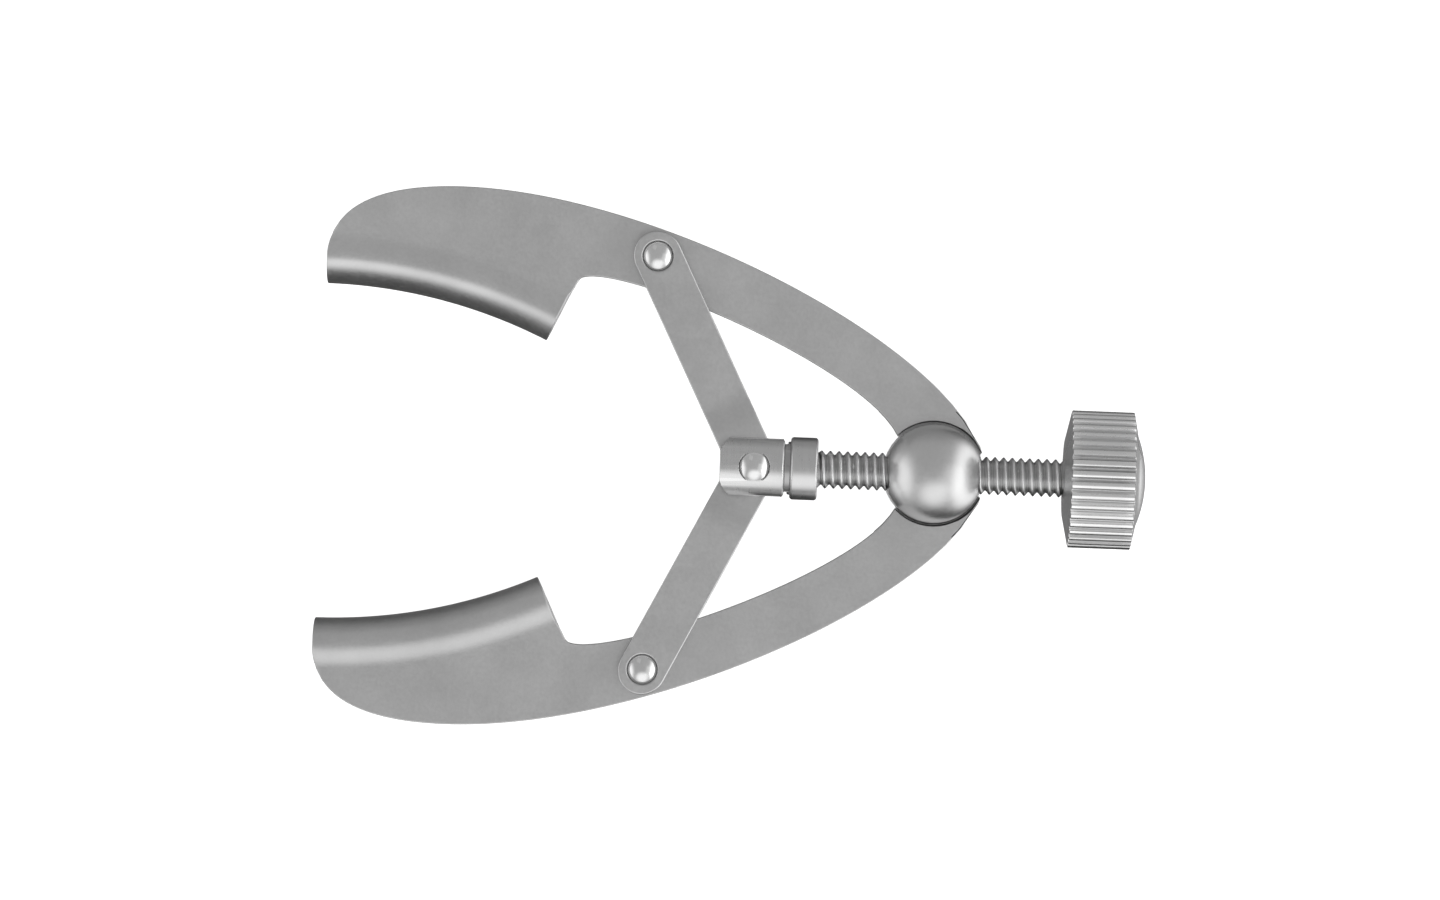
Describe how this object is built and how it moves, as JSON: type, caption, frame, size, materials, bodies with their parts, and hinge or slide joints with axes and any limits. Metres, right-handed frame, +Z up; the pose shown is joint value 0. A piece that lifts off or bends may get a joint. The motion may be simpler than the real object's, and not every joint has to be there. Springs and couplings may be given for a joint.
{
  "type": "eyelid speculum",
  "caption": "Screw-adjusted eyelid speculum: two curved arms with solid gutter blades, two links to a yoke, a screw through a ball nut and a ribbed knob.",
  "frame": {"origin": "under the middle of the part, on the surface that it lies on", "axes": "+X along the screw towards the knob, +Y towards the upper arm, +Z up, away from the surface"},
  "size_m": [0.062, 0.0404, 0.0103],
  "materials": {
    "satin_steel": "bead-blasted satin stainless steel",
    "polished_steel": "polished stainless steel with a soft sheen",
    "turned_steel": "turned stainless steel with fine turning marks",
    "knob_steel": "bright ribbed stainless steel"
  },
  "bodies": {
    "pivot": {"ball_nut": "polished_steel", "pivot_screw": "polished_steel", "pivot_washer": "satin_steel"},
    "upper_arm": {"upper_arm": "satin_steel", "upper_arm_rivet": "polished_steel"},
    "lower_arm": {"lower_arm": "satin_steel", "lower_arm_rivet": "polished_steel"},
    "upper_link": {"upper_link": "satin_steel"},
    "lower_link": {"lower_link": "satin_steel"},
    "yoke": {"yoke": "turned_steel", "yoke_rivet": "polished_steel", "retaining_bush": "turned_steel"},
    "spindle": {"screw": "turned_steel", "knob": "knob_steel"}
  },
  "joints": [
    {"name": "knob_turn", "type": "hinge", "parent": "yoke", "child": "spindle", "pos_m": [0.01515, 0, 0.00515], "axis": [1, 0, 0], "range_deg": [-540, 1890]},
    {"name": "yoke_slide", "type": "slide", "parent": "pivot", "child": "yoke", "axis": [1, 0, 0], "range_m": [-0.00098, 0.00342]},
    {"name": "upper_arm_swing", "type": "hinge", "parent": "pivot", "child": "upper_arm", "pos_m": [0.01515, 0, 0.00515], "axis": [0, 0, 1], "range_deg": [-3.25, 11.3]},
    {"name": "lower_arm_swing", "type": "hinge", "parent": "pivot", "child": "lower_arm", "pos_m": [0.01515, 0, 0.00515], "axis": [0, 0, 1], "range_deg": [-11.3, 3.25]},
    {"name": "upper_link_swing", "type": "hinge", "parent": "upper_arm", "child": "upper_link", "pos_m": [-0.00615, 0.01551, 0.00515], "axis": [0, 0, 1], "range_deg": [-3.9, 13.5]},
    {"name": "lower_link_swing", "type": "hinge", "parent": "lower_arm", "child": "lower_link", "pos_m": [-0.00615, -0.01551, 0.00515], "axis": [0, 0, 1], "range_deg": [-13.5, 3.9]}
  ],
  "couplings": [
    {"joint": "yoke_slide", "follows": "knob_turn", "m_per_rad": 0.00010345},
    {"joint": "upper_arm_swing", "follows": "knob_turn", "ratio": 0.00597},
    {"joint": "lower_arm_swing", "follows": "knob_turn", "ratio": -0.00597},
    {"joint": "upper_link_swing", "follows": "knob_turn", "ratio": 0.00713},
    {"joint": "lower_link_swing", "follows": "knob_turn", "ratio": -0.00713}
  ]
}
